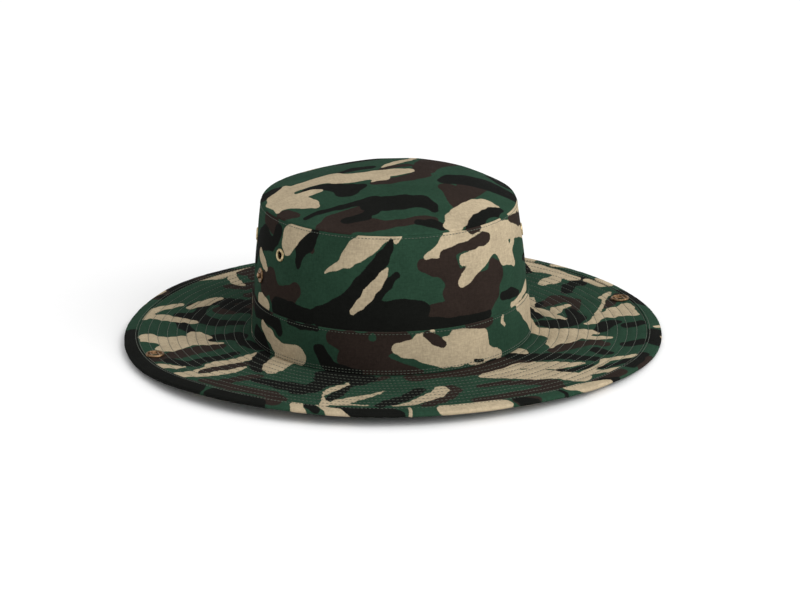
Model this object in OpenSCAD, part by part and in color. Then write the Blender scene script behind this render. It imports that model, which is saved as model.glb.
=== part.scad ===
// Wide-brim boonie hat of printed cotton, with sides that fold up and snap to the crown.
// Origin: on the surface it stands on, under the centre of the crown. +Z up, -Y is the front.
// Left and right are the wearer's, so left is +X. All sizes are in millimetres.

/* [Crown] */
// Half the crown's width at its base, outside the band
base_a = 92; // [85:1:98]
// Half the crown's length at its base, outside the band
base_b = 100; // [93:1:106]
// Height of the crown's side, from the brim to the top seam
side_h = 89; // [84:1:98]
// How far the side leans in from its base to the top seam
side_lean = 8; // [6:0.5:10]
// Rise of the top panel above its seam
dome_h = 15; // [4:1:20]
// Thickness of one layer of printed cotton
cloth = 0.6; // [0.4:0.1:0.7]

/* [Bands] */
// Height of the band round the outside of the crown
band_h = 29; // [24:1:34]
// Height of the sweatband inside
sweatband_h = 32; // [25:1:36]
// Thickness of the sweatband
sweatband_t = 1.0; // [0.6:0.1:1.4]
// Width of the tape over the top seam inside
tape_w = 11; // [8:1:14]

/* [Brim] */
// Width of the brim
brim_w = 86; // [84:0.5:90]
// Thickness of the stiffening between the brim's two cloths
stiffener_t = 0.8; // [0.6:0.1:1.0]
// Width of the edge binding that shows on each face
binding_w = 9; // [8:0.5:9]
// Thickness of the binding
binding_t = 0.5; // [0.4:0.1:0.6]
// Rise of the brim's face from the crown to the binding, at the front
front_rise = 3.5; // [1:0.5:5]
// The same rise at the back
back_rise = 1.5; // [1:0.5:5]
// The same rise at the middle of each side
side_rise = 2.8; // [2.6:0.1:3.2]
// The same rise at the four corners between them, on which the hat stands
corner_rise = 0.5; // [0:0.1:0.5]
// Downward slope of the bound edge in degrees, at the front, back and corners
edge_slope = 4; // [2:1:6]
// The same slope at the middle of each side
side_edge_slope = 14; // [12:1:15]

/* [Folding sides] */
// Distance from the centre to each side's fold
fold_x = 111.7; // [110:0.1:112]
// Clear gap between a side and the rest of the brim
fold_gap = 0.4; // [0.3:0.1:0.6]

/* [Vents and snaps] */
// Distance of each vent in front of or behind the snap
vent_y = 27; // [22:1:32]
// Height of the vents above the brim
vent_z = 67; // [62:1:70]
// Radius of a vent's hole
vent_r = 2.5; // [2:0.1:3]
// Radius of a vent's rim
vent_rim_r = 4.3; // [4.1:0.1:5]
// Height of the crown's snap studs above the brim
stud_z = 47; // [46:0.5:48]
// Radius of a stud's base
stud_r = 5.1; // [4.6:0.1:5.3]
// Radius of a brim snap's socket
socket_r = 6.2; // [6:0.1:6.3]
// Distance from the centre to each brim snap
socket_x = 162.5; // [161.5:0.5:162.5]

/* [Hidden] */

GREEN = [0.11, 0.24, 0.17];
BROWN = [0.16, 0.11, 0.10];
OLIVE = [0.20, 0.22, 0.16];
CANVAS = [0.78, 0.76, 0.70];
BRASS = [0.62, 0.50, 0.28];
COPPER = [0.45, 0.30, 0.18];

steps = 72;                        // corners round each oval
round_fn = 40;                     // fineness of the round metal pieces
tuck = 1.6;                        // how far the brim reaches in under the crown's wall
edge_start = brim_w - binding_w;   // distance out from the crown where the bound edge starts
fold_in = 0.7;                     // the cloths stop this far inside the binding's fold
edge_end = brim_w - fold_in;
stiff_d = cloth + stiffener_t;     // depth of the stiffening's lower face
brim_t = 2 * cloth + stiffener_t;  // thickness of the brim without its binding
seat_gap = 0.2;                    // a flat metal rim stands off the curved wall by this
wall_gap = 0.05;                   // clear gap between the crown's side and the bands on it
tape_top = side_h - 1;             // height of the seam tape's upper edge above the brim
tape_t = 0.5;                      // thickness of the seam tape
corner_angle = 55;                 // where the four corners lie, from the hat's side
corner = cos(2 * corner_angle);

// Height of the brim's top face at the crown, so that the binding's corners touch the ground.
brim_top = brim_t + binding_t + (edge_end - edge_start) * tan(edge_slope) - corner_rise;

// ---- ovals ----

// A closed ring round the hat. The profile is its section as [distance out from the base oval, height],
// and on the brim the height is counted from the brim's top face. Each four-cornered facet is split along
// the same diagonal whichever way the profile runs, so that two layers meet exactly.
module oval_ring(profile, on_brim = false) {
    m = len(profile);
    points = [
        for (p = profile, i = [0:steps - 1])
            let (t = 360 * i / steps, level = on_brim ? brim_z(p[0], t) : 0)
            [(base_a + p[0]) * cos(t), (base_b + p[0]) * sin(t), level + p[1]]
    ];
    faces = [
        for (j = [0:m - 1], i = [0:steps - 1])
            let (
                n = (j + 1) % m,
                a = j * steps + i, b = j * steps + (i + 1) % steps,
                c = n * steps + (i + 1) % steps, d = n * steps + i
            )
            each profile[n][0] >= profile[j][0] ? [[a, b, c], [a, c, d]] : [[a, b, d], [b, c, d]]
    ];
    polyhedron(points, faces);
}

// How far the crown's side has leaned in at a height above the brim.
function lean(h) = side_lean * h / side_h;

// A wall that follows the crown's side from h0 to h1 above the brim, between two distances inside it.
module crown_wall(h0, h1, outer, inner) {
    oval_ring([
        [-lean(h0) - inner, brim_top + h0], [-lean(h1) - inner, brim_top + h1],
        [-lean(h1) - outer, brim_top + h1], [-lean(h0) - outer, brim_top + h0]
    ]);
}

// ---- crown ----

// Height of the top panel above its seam at a share r of the way out, 0 in the middle and 1 at the seam.
function dome(r) = dome_h * (1 - pow(r, 2.6));

module crown_tip() {
    shares = [1, 0.96, 0.88, 0.74, 0.52, 0.26];
    m = len(shares);
    a = base_a - side_lean - cloth;
    b = base_b - side_lean - cloth;
    seam_z = brim_top + side_h;
    function ring(s, z) = [
        for (i = [0:steps - 1]) [a * s * cos(360 * i / steps), b * s * sin(360 * i / steps), z]
    ];
    points = concat(
        [for (s = shares) each ring(s, seam_z + cloth + dome(s))],
        [for (s = shares) each ring(s, seam_z + dome(s))],
        [[0, 0, seam_z + cloth + dome_h], [0, 0, seam_z + dome_h]]
    );
    low = m * steps;
    top = 2 * m * steps;
    faces = [
        for (i = [0:steps - 1])
            let (k = (i + 1) % steps)
            each concat(
                [for (j = [0:m - 2]) let (p = j * steps, q = p + steps)
                    each [[p + i, q + k, p + k], [p + i, q + i, q + k],
                          [low + p + i, low + p + k, low + q + k],
                          [low + p + i, low + q + k, low + q + i]]],
                [[i, k, low + k], [i, low + k, low + i],
                 [(m - 1) * steps + i, top, (m - 1) * steps + k],
                 [low + (m - 1) * steps + k, top + 1, low + (m - 1) * steps + i]]
            )
    ];
    color(GREEN) polyhedron(points, faces);
}

module crown_side() {
    color(GREEN) difference() {
        crown_wall(0, side_h, cloth, 2 * cloth);
        for (sx = [-1, 1]) {
            for (sy = [-1, 1]) on_wall(sx, sy * vent_y, vent_z)
                cylinder(r = vent_r + 0.5, h = 8, center = true, $fn = round_fn);
            on_wall(sx, 0, stud_z) cylinder(r = 1.3, h = 8, center = true, $fn = round_fn);
        }
    }
}

module hat_band() {
    color(BROWN) crown_wall(0, band_h, 0, cloth - wall_gap);
}

module sweatband() {
    color(CANVAS) crown_wall(0, sweatband_h, 2 * cloth + wall_gap, 2 * cloth + sweatband_t);
}

module crown_seam_tape() {
    color(OLIVE) crown_wall(tape_top - tape_w, tape_top, 2 * cloth + wall_gap, 2 * cloth + tape_t);
}

// ---- brim ----

// Share of a side's shape that holds at an angle t from the hat's side: 1 at the side, 0 from the corners on.
function sideways(t) = pow(max(0, cos(2 * t) - corner) / (1 - corner), 2);

// Share of the front's or back's shape at the same angle: 1 at the middle of it, 0 from the corners on.
function endways(t) = pow(max(0, corner - cos(2 * t)) / (1 + corner), 2);

// Rise of the brim's face from the crown to the binding at an angle t.
function rise(t) = corner_rise + (side_rise - corner_rise) * sideways(t)
    + ((sin(t) < 0 ? front_rise : back_rise) - corner_rise) * endways(t);

// Height of the brim's top face at a distance s out from the crown and an angle t.
function brim_z(s, t) = brim_top + rise(t) * max(0, min(s, edge_start)) / edge_start
    - max(0, s - edge_start) * tan(edge_slope + (side_edge_slope - edge_slope) * sideways(t));

// One layer of the brim, between two depths under its top face.
module brim_layer(d0, d1) {
    out = [-tuck, 0, edge_start / 2, edge_start, edge_end];
    n = len(out);
    oval_ring(concat(
        [for (i = [n - 1:-1:0]) [out[i], -d0]],
        [for (s = out) [s, -d1]]
    ), on_brim = true);
}

// The folded strip that wraps the brim's edge, open towards the crown.
module binding_ring() {
    oval_ring([
        [edge_end, 0], [edge_start, 0], [edge_start, binding_t], [edge_end, binding_t],
        [brim_w, -0.4], [brim_w, 0.4 - brim_t],
        [edge_end, -brim_t - binding_t], [edge_start, -brim_t - binding_t],
        [edge_start, -brim_t], [edge_end, -brim_t]
    ], on_brim = true);
}

// Keeps what lies beyond the fold on one side: sx is 1 for the left and -1 for the right.
module beyond_fold(sx) {
    intersection() {
        children();
        translate([sx * (fold_x + fold_gap / 2 + 100), 0, 0]) cube([200, 500, 60], center = true);
    }
}

// Keeps what lies between the two folds.
module between_folds() {
    intersection() {
        children();
        cube([2 * fold_x - fold_gap, 500, 60], center = true);
    }
}

module brim_top_cloth() {
    color(GREEN) between_folds() brim_layer(0, cloth);
}

module brim_stiffener() {
    color(CANVAS) between_folds() brim_layer(cloth, stiff_d);
}

module brim_under_cloth() {
    color(GREEN) between_folds() brim_layer(stiff_d, brim_t);
}

// sy is -1 for the front length of the binding and 1 for the back length.
module brim_binding(sy) {
    color(BROWN) intersection() {
        between_folds() binding_ring();
        translate([0, sy * 125, 0]) cube([500, 250, 60], center = true);
    }
}

// ---- folding sides ----

// One layer of a side, with the hole for its snap.
module side_layer(sx, d0, d1) {
    difference() {
        beyond_fold(sx) brim_layer(d0, d1);
        on_side(sx) cylinder(r = 2, h = 20, center = true, $fn = round_fn);
    }
}

module side_top_cloth(sx) {
    color(GREEN) side_layer(sx, 0, cloth);
}

module side_stiffener(sx) {
    color(CANVAS) side_layer(sx, cloth, stiff_d);
}

module side_under_cloth(sx) {
    color(GREEN) side_layer(sx, stiff_d, brim_t);
}

module side_binding(sx) {
    color(BROWN) beyond_fold(sx) binding_ring();
}

// ---- metal pieces, drawn with +Z out of the cloth and the cloth's outer face at z = 0 ----

// Places its child on the crown's outer face on one side, at y and at h above the brim.
module on_wall(sx, y, h) {
    a = base_a - cloth - lean(h);
    b = base_b - cloth - lean(h);
    x = a * sqrt(1 - pow(y / b, 2));
    yaw = atan2(y / (b * b), x / (a * a));
    tilt = 90 - atan(side_lean / side_h);
    mirror([sx < 0 ? 1 : 0, 0, 0])
        translate([x, y, brim_top + h]) rotate([0, 0, yaw]) rotate([0, tilt, 0]) children();
}

// Places its child on the brim's top face at one side's snap.
module on_side(sx) {
    mirror([sx < 0 ? 1 : 0, 0, 0])
        translate([socket_x, 0, brim_z(socket_x - base_a, 0)])
        rotate([0, -atan(side_rise / edge_start), 0]) children();
}

// A tube with a rolled rim on the outside of the cloth.
module vent_eyelet() {
    color(BRASS) rotate_extrude($fn = round_fn) polygon([
        [vent_r, -1.1], [vent_r, 0.55], [vent_r + 0.3, 0.85], [vent_rim_r - 0.6, 0.85],
        [vent_rim_r, 0.5], [vent_rim_r, seat_gap], [vent_r + 0.35, seat_gap], [vent_r + 0.35, -1.1]
    ]);
}

// The flat ring that grips the eyelet's tube on the inside.
module vent_washer() {
    color(BRASS) translate([0, 0, -cloth - 0.6]) difference() {
        cylinder(r = vent_rim_r + 0.3, h = 0.35, $fn = round_fn);
        translate([0, 0, -1]) cylinder(r = vent_r + 0.4, h = 3, $fn = round_fn);
    }
}

// A round base with a waisted knob.
module snap_stud() {
    color(BRASS) rotate_extrude($fn = round_fn) polygon([
        [0, 0.5], [1.2, 0.5], [1.2, seat_gap], [stud_r, seat_gap], [stud_r, 0.7], [stud_r - 0.4, 0.9],
        [2.6, 0.7], [1.8, 0.9], [1.7, 1.6], [2, 2.2], [1.7, 2.7], [0, 2.8]
    ]);
}

// The rivet inside the crown that holds a stud.
module snap_stud_back() {
    color(BRASS) union() {
        translate([0, 0, -cloth - 0.75]) cylinder(r = stud_r - 0.3, h = 0.5, $fn = round_fn);
        translate([0, 0, -cloth - 0.5]) cylinder(r = 1.15, h = cloth + 0.95, $fn = round_fn);
    }
}

spring_y = 2.5;  // distance of a spring wire from the socket's middle

// A ring whose mouth opens away from the brim. Its wall holds the ends of the spring wires.
module snap_socket() {
    color(COPPER) difference() {
        rotate_extrude($fn = round_fn) polygon([
            [2.1, 0.05], [socket_r - 0.3, 0.05], [socket_r, 0.4], [socket_r, 1.2],
            [socket_r - 0.4, 1.6], [socket_r - 1, 1.6], [socket_r - 1.4, 1.2],
            [socket_r - 1.4, 0.45], [2.1, 0.45]
        ]);
        for (sy = [-1, 1]) spring_wire(sy, 0.32, 11);
    }
}

module spring_wire(sy, r, length) {
    translate([0, sy * spring_y, 0.85]) rotate([0, 90, 0])
        cylinder(r = r, h = length, center = true, $fn = 16);
}

module snap_spring() {
    color(BRASS) for (sy = [-1, 1]) spring_wire(sy, 0.3, 9.8);
}

// The rounded button under the brim, with the rivet that holds the socket.
module snap_cap() {
    color(COPPER) union() {
        translate([0, 0, -brim_t]) rotate([180, 0, 0]) rotate_extrude($fn = round_fn) polygon([
            [0, 0.05], [socket_r - 0.1, 0.05], [socket_r, 0.3], [socket_r - 0.5, 0.7],
            [socket_r - 2, 1.0], [0, 1.15]
        ]);
        translate([0, 0, -brim_t - 0.5]) difference() {
            cylinder(r = 1.85, h = brim_t + 0.8, $fn = round_fn);
            translate([0, 0, 0.6]) cylinder(r = 1.3, h = 5, $fn = round_fn);
        }
    }
}

// ---- what each node draws ----

crown_tip();
crown_side();
hat_band();
sweatband();
crown_seam_tape();
brim_top_cloth();
brim_stiffener();
brim_under_cloth();
brim_binding(-1);  // brim_binding_front
brim_binding(1);  // brim_binding_back

for (side = [["left", 1], ["right", -1]]) {
    name = side[0];
    sx = side[1];
    for (end = [["front", -1], ["back", 1]]) {
        vent = str(name, "_", end[0]);
        y = end[1] * vent_y;
        on_wall(sx, y, vent_z) vent_eyelet();
        on_wall(sx, y, vent_z) vent_washer();
    }
    on_wall(sx, 0, stud_z) snap_stud();
    on_wall(sx, 0, stud_z) snap_stud_back();
    side_top_cloth(sx);
    side_stiffener(sx);
    side_under_cloth(sx);
    side_binding(sx);
    on_side(sx) snap_socket();
    on_side(sx) snap_spring();
    on_side(sx) snap_cap();
}
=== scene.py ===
"""Boonie hat in four-colour printed cotton: cloth, stitching, brass vents and bronze snaps."""

import math

import bpy
import numpy as np
from mathutils import Matrix, Vector


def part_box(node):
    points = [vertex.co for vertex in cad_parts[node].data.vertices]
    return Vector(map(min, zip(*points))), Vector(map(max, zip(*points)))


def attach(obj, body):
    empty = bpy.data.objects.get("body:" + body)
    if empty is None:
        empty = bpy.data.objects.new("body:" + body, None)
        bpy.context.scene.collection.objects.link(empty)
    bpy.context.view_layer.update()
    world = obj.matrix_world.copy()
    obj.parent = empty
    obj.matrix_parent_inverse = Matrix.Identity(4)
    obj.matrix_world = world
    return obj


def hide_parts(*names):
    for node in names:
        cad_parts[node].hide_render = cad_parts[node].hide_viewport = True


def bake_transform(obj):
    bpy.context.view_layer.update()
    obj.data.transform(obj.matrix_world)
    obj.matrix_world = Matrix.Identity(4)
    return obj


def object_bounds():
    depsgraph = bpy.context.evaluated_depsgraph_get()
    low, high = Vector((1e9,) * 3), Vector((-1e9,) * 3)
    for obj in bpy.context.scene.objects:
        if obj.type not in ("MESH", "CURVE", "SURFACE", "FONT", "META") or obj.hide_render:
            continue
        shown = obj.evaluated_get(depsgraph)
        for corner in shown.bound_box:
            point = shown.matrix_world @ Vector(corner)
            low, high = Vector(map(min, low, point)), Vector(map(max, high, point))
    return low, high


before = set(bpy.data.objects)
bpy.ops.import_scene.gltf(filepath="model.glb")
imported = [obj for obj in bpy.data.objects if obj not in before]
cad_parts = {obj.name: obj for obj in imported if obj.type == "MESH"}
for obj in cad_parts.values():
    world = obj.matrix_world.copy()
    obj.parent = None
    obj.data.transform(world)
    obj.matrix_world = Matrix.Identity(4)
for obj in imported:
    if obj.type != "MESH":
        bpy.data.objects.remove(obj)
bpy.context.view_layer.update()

MM = 0.001
TAU = 2 * math.pi


def box_mm(node):
    low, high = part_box(node)
    return [v / MM for v in low], [v / MM for v in high]


# ---------------------------------------------------------------- sizes in millimetres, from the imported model
BASE_Z = box_mm("hat_band")[0][2]  # height of the seam where crown and brim meet
BASE_A = box_mm("crown_side")[1][0]  # half width of the crown at that seam
BASE_B = box_mm("crown_side")[1][1]  # half length there
SIDE_H = box_mm("crown_side")[1][2] - BASE_Z  # height of the crown side
LEAN = BASE_A - box_mm("crown_tip")[1][0]  # how much narrower the crown is at the top seam
DOME = box_mm("crown_tip")[1][2] - box_mm("crown_side")[1][2]  # height of the puffed tip
BAND_H = 28.5  # height of the band
EDGE_S = 77.0  # where the binding starts, measured out from the crown seam
BINDING_STITCH_S = 78.2  # the row that holds the binding
ROLL_S = 84.5  # where the binding starts to turn round the edge
ROW_GAP = 6.35  # spacing of the quilting rows on the brim
ROWS = 12
SIDE_DEGREE, BAND_DEGREE, BRIM_DEGREE, EDGE_DEGREE = 1.62, 1.65, 2.4, 3.2  # length of one degree
TOP_STITCH_H = 87.2  # height of the stitch row under the top seam
CREASE_DEGREE = 286.5  # where the band has an upright crease

LATTICE_N = 32
LATTICE = np.random.default_rng(20).random((LATTICE_N,) * 3) * 2 - 1


def noise(p, wave, seed=0):
    """Smooth random values from -1 to 1 at points p, with features of about wave millimetres."""
    q = np.asarray(p, float) / wave + 7.31 * (seed + 1)
    i = np.floor(q).astype(int)
    f = q - i
    f = f * f * (3 - 2 * f)
    total = 0
    for dx in (0, 1):
        for dy in (0, 1):
            for dz in (0, 1):
                w = (
                    (f[..., 0] if dx else 1 - f[..., 0])
                    * (f[..., 1] if dy else 1 - f[..., 1])
                    * (f[..., 2] if dz else 1 - f[..., 2])
                )
                x, y, z = ((i[..., k] + step) % LATTICE_N for k, step in enumerate((dx, dy, dz)))
                total = total + w * LATTICE[x, y, z]
    return total


def xyz(x, y, z):
    return np.stack(np.broadcast_arrays(x, y, z), -1).astype(float)


# ---------------------------------------------------------------- the hat's own surfaces
CORNER = math.cos(math.radians(110))


def round_the_brim(t, side, front, back, corner):
    """A value that runs smoothly round the brim through the sides, corners, front and back."""
    c = np.cos(2 * t)
    sideways = (np.maximum(0, c - CORNER) / (1 - CORNER)) ** 2
    endways = (np.maximum(0, CORNER - c) / (1 + CORNER)) ** 2
    end = np.where(np.sin(t) < 0, front, back)
    return corner + (side - corner) * sideways + (end - corner) * endways


def hump(t, degrees, width):
    """1 at an angle given in degrees, falling smoothly to nothing over some width to both sides."""
    return np.exp(-(((np.degrees(t) % 360 - degrees) / width) ** 2))


def brim_top_height(s, t):
    """Height of the brim's top face above the crown seam: it sags to the front left of the wearer."""
    rise = round_the_brim(t, 1.6, 4.6, 2.0, 3.2) + 0.5 * np.cos(t - math.radians(200))
    rise = rise - 3.4 * hump(t, 320, 22) + 2.7 * hump(t, 218, 32)
    drop = round_the_brim(t, 2.4, 0.7, 1.0, 0.5)
    out = np.maximum(0, s - EDGE_S) / (ROLL_S - EDGE_S)
    return rise * np.clip(s, 0, EDGE_S) / EDGE_S - drop * out**1.2


def brim_point(s, t, lift=0.0):
    """A point on the brim's top face, s out from the crown seam, lifted by lift."""
    x = (BASE_A + s) * np.cos(t)
    y = (BASE_B + 1.023 * s) * np.sin(t) - 2.0 * s / 86
    flat = xyz(x, y, 0)
    wave = 0.55 * noise(flat, 60, 3) * np.clip(s / 40, 0, 1)
    return xyz(x, y, BASE_Z + brim_top_height(s, t) + wave + lift)


def seam_rise(t):
    """How much higher than the pattern piece the worn top seam sits, more on the wearer's right."""
    return 0.9 - np.cos(t)


def wall_point(t, h, out=0.0):
    """A point on the crown's side, h above the crown seam, moved out by out."""
    bulge = np.sin(np.pi * np.clip(h / SIDE_H, 0, 1))
    inset = 0.9 * LEAN * h / SIDE_H - 0.6 * bulge + 1.3 * np.clip(h / SIDE_H, 0, 1) ** 6
    mid = xyz(BASE_A * np.cos(t), BASE_B * np.sin(t), h)
    dent = bulge**0.8 * (1.2 * noise(mid, 42, 1) + 0.5 * noise(mid, 16, 2))
    reach = out - inset + dent + 1.3 * np.clip(np.cos(t), 0, 1) * h / SIDE_H
    z = BASE_Z + h + seam_rise(t) * (h / SIDE_H) ** 2
    return xyz((BASE_A + reach) * np.cos(t), (BASE_B + reach) * np.sin(t), z)


def wall_frame(t, h, out=0.0):
    """A point on the crown's side with its outward normal and the direction along the wall."""
    e = 1e-3
    p = wall_point(np.array(t), np.array(h), out)
    along = wall_point(np.array(t + e), np.array(h), out) - wall_point(np.array(t - e), np.array(h), out)
    up = wall_point(np.array(t), np.array(h + 0.5), out) - wall_point(np.array(t), np.array(h - 0.5), out)
    n = np.cross(along, up)
    return p, n / np.linalg.norm(n), along / np.linalg.norm(along)


# ---------------------------------------------------------------- the printed pattern, with one painted shadow above the band
# Each stroke is a line of points (degrees round the hat, millimetres up or out, radius).
# Degrees run from the wearer's left (0 or 360) by the back (90), the right (180) and the front (270).
BRIM_PRINT = {
    "sand": [
        [
            (174, 23, 1.6), (173.5, 32, 3), (171, 40, 8), (170.5, 50, 11),
            (171, 58, 12), (169, 66, 9), (166, 71, 6),
        ],
        [(168, 31, 4), (165, 38, 6)],
        [(174, 48, 4), (176, 59, 6), (175.5, 65, 3.5)],
        [
            (188, 8, 0.8), (190.8, 14, 2.5), (193, 20, 4.5),
            (193.3, 30, 4.5), (193, 39, 5.3), (193.8, 46, 4.5),
        ],
        [(193.8, 46, 4.5), (195, 52, 1.6), (195.8, 60, 1.4), (196.8, 67, 4), (196.5, 76, 5)],
        [
            (201, 31, 1.4), (201.2, 37, 2.5), (201.8, 44, 3.6),
            (201.5, 50, 5), (201.2, 57, 4.5), (199.8, 65, 4),
        ],
        [(199.8, 65, 4), (198, 72, 4.5), (197, 78, 4)],
        [(201.5, -2, 9), (203, 5, 8.5), (205.5, 13, 8), (208, 20, 7), (209.8, 25, 4.5)],
        [(191.5, 63, 1.8), (191, 68, 3.2), (188.8, 73, 3.8), (187.5, 76, 3.5)],
        [
            (236.6, 21.5, 0.9), (237, 26, 1.9), (235.4, 32, 2.8),
            (234.4, 40, 3), (234, 47, 2.4), (234, 54, 0.8),
        ],
        [(234, 54, 0.8), (234.8, 62, 0.8), (235.8, 69, 2.5), (236.5, 76, 3)],
        [
            (248.5, 36, 0.6), (247.4, 41.5, 1.6), (245, 48, 3), (242.8, 54, 4),
            (241, 60, 5), (239.5, 66, 6), (239, 70, 4),
        ],
        [(236, 71.5, 2), (241, 70.5, 1.6), (245.5, 70.3, 1.4)],
        [(264.5, 38, 4), (264, 44, 5), (262, 51, 5.5), (259.8, 57, 5), (257.3, 63, 4.5), (255, 68.5, 3.5)],
        [(255, 68.5, 3.5), (251.5, 71, 1.3)],
        [(283, 22, 4), (298, 22, 5)],
        [
            (281.5, 24, 4.5), (286, 27, 7.5), (290, 33, 9), (294, 42, 11),
            (297, 50, 9), (298.5, 58, 8), (299, 66, 9),
        ],
        [(299, 66, 9), (298, 71, 5)],
        [(298, 25, 6), (301, 31, 8), (304, 39, 8), (306, 45, 5), (309, 51.5, 2.5)],
        [(303, 65, 4), (305, 69, 4), (307, 73, 2.5), (309, 76, 2.8), (312, 78.5, 1.5)],
        [
            (304, 62.5, 2.2), (310, 63.5, 2), (314.5, 62, 3),
            (316.5, 66, 3.2), (319, 72, 2.6), (321.3, 76.5, 1.3),
        ],
        [(310, -1, 6), (310.5, 5, 4.5), (309.5, 9, 2.5)],
        [(337, 2, 6), (335.5, 9, 7), (334, 17, 9), (334.5, 26, 10), (335.5, 34, 7.5)],
        [(319, 20, 1.3), (323, 18, 4), (328, 20, 7)],
        [(327, 25, 5), (331, 28, 6)],
        [(331.8, 38, 3.5), (331.8, 46, 3), (331.8, 52.5, 2.2)],
        [(336.5, 39, 4), (335.5, 44.5, 1.8)],
        [
            (337, 0, 5), (345, -1, 4), (355, -1, 4), (362, 1, 4),
            (367, 5, 4), (371, 11, 3.2), (376, 18, 2.6), (384, 31, 1.8),
        ],
        [(348.5, 24, 2), (351, 20.5, 3), (354.5, 16, 4), (359, 13.5, 4), (363, 12, 2)],
        [(356, 22, 4), (359.5, 26, 3.5), (360.5, 33, 3)],
        [(365.5, 13, 2.4), (369, 15.5, 2.4), (373.5, 20, 2.8)],
        [
            (343.2, 37, 1.6), (344.5, 42, 3.2), (348.5, 47, 3.6),
            (350, 53, 4.2), (350.5, 60, 6.5), (350.5, 68, 6),
        ],
        [(350.5, 68, 6), (348.5, 72.5, 2.5)],
        [(348.5, 56, 4), (352.5, 62, 6), (353.5, 69, 6), (355.5, 71, 4)],
        [
            (351, 47, 2), (355, 53, 1.6), (358.5, 58, 1), (361.5, 61, 1),
            (363, 62, 2.6), (364.5, 67, 2.2), (366, 71.5, 1.6),
        ],
        [(382, 47, 4), (382.5, 55, 7), (383.5, 63, 5)],
        [(371.5, 75, 4), (376.5, 73.5, 3.5)],
    ],
    "brown": [
        [(177, 26, 5), (178, 36, 6.5), (179.5, 48, 7), (181.5, 58, 7), (182, 66, 6)],
        [(183, 73, 5), (181, 76, 4)],
        [(198, 26, 5), (198, 35, 6), (197.7, 45, 5), (197.5, 58, 4)],
        [(210, 40, 5), (209, 52, 5), (208, 62, 5)],
        [(204, 71, 4), (214, 69, 6), (222, 67, 7), (226, 74, 6)],
        [(258, 6, 5), (259, 12, 5), (265, 7, 6), (274, 8, 8)],
        [(267.5, 37, 4), (268, 46, 3.5), (265.5, 56, 4), (262, 65, 4.5), (258.5, 73, 4)],
        [(268, 8, 6), (276, 9, 8), (286, 8, 9), (296, 8, 9), (303, 10, 8)],
        [(281, 15, 4), (292, 18, 5), (303, 18, 6)],
        [(276, 43, 4), (283, 44, 5), (288, 52, 6), (292, 62, 7), (290, 71, 7), (280, 70, 5), (270, 72, 5)],
        [(317, 24, 5), (322, 29, 6), (326, 36, 6), (328, 44, 5), (327, 51, 4)],
        [(364, 18, 4), (366, 26, 6), (368, 35, 7), (364, 42, 5), (356, 36, 3)],
        [(355.5, 56, 2.8), (357.5, 61, 3.2), (360, 66, 4), (363, 74, 4)],
        [(244, 14, 3), (248, 6, 4)],
    ],
    "ink": [
        [(168, 12, 9), (168, 23, 6), (171, 30, 3.5)],
        [(176, 8, 6), (184, 3, 4)],
        [
            (186, 20, 3), (187.5, 30, 4), (188, 40, 5), (188.5, 50, 5),
            (191, 56, 4.5), (188, 61, 5), (185, 66, 5),
        ],
        [(190, 3, 5), (194, 9, 6), (198, 16, 6), (202, 23, 5), (206, 30, 3.5)],
        [(226, 8, 8), (233, 9, 10), (241, 10, 9)],
        [(228, 18, 8), (232, 22, 7), (229, 31, 7), (229, 42, 7)],
        [(240, 20, 6), (238.5, 27, 3)],
        [(213, 46, 5), (221, 45, 9), (228, 46, 9), (227, 55, 5)],
        [(238.3, 29, 2.5), (237.3, 38, 3.5), (237, 50, 4), (236.3, 63, 3.5)],
        [(258.5, 38, 5), (256, 48, 5), (253.5, 56, 5.5), (250.5, 64, 5.5), (248.5, 71, 4)],
        [(305, 8, 8), (307, 18, 8), (311, 27, 7), (313, 36, 6), (313, 46, 6), (314, 54, 5)],
        [(322, 48, 5), (320, 56, 5)],
        [(345, 9, 6), (343.5, 17, 8), (345, 26, 8), (349, 33, 6), (356, 32, 4)],
        [(352, 8, 4), (360, 7, 3.5), (367, 20, 3)],
        [(338, 46, 5), (342, 50, 6), (344, 57, 4)],
        [(341, 64, 5), (343, 73, 4)],
        [(328, 66, 5), (331, 76, 4)],
        [(376, 64, 6), (379, 72, 5)],
        [(372, 48, 4), (376, 56, 5)],
    ],
    "ink_notch": [
        [(301.3, 47.5, 3), (302.5, 53, 3.2), (306, 57, 3), (309, 58.5, 2)],
        [(308, 66.5, 2.2), (312, 71, 2.5), (316, 74.5, 3), (318, 78, 2.5)],
    ],
    "green_notch": [[(172.5, 69, 4.5), (171.5, 75, 6)]],
}
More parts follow.
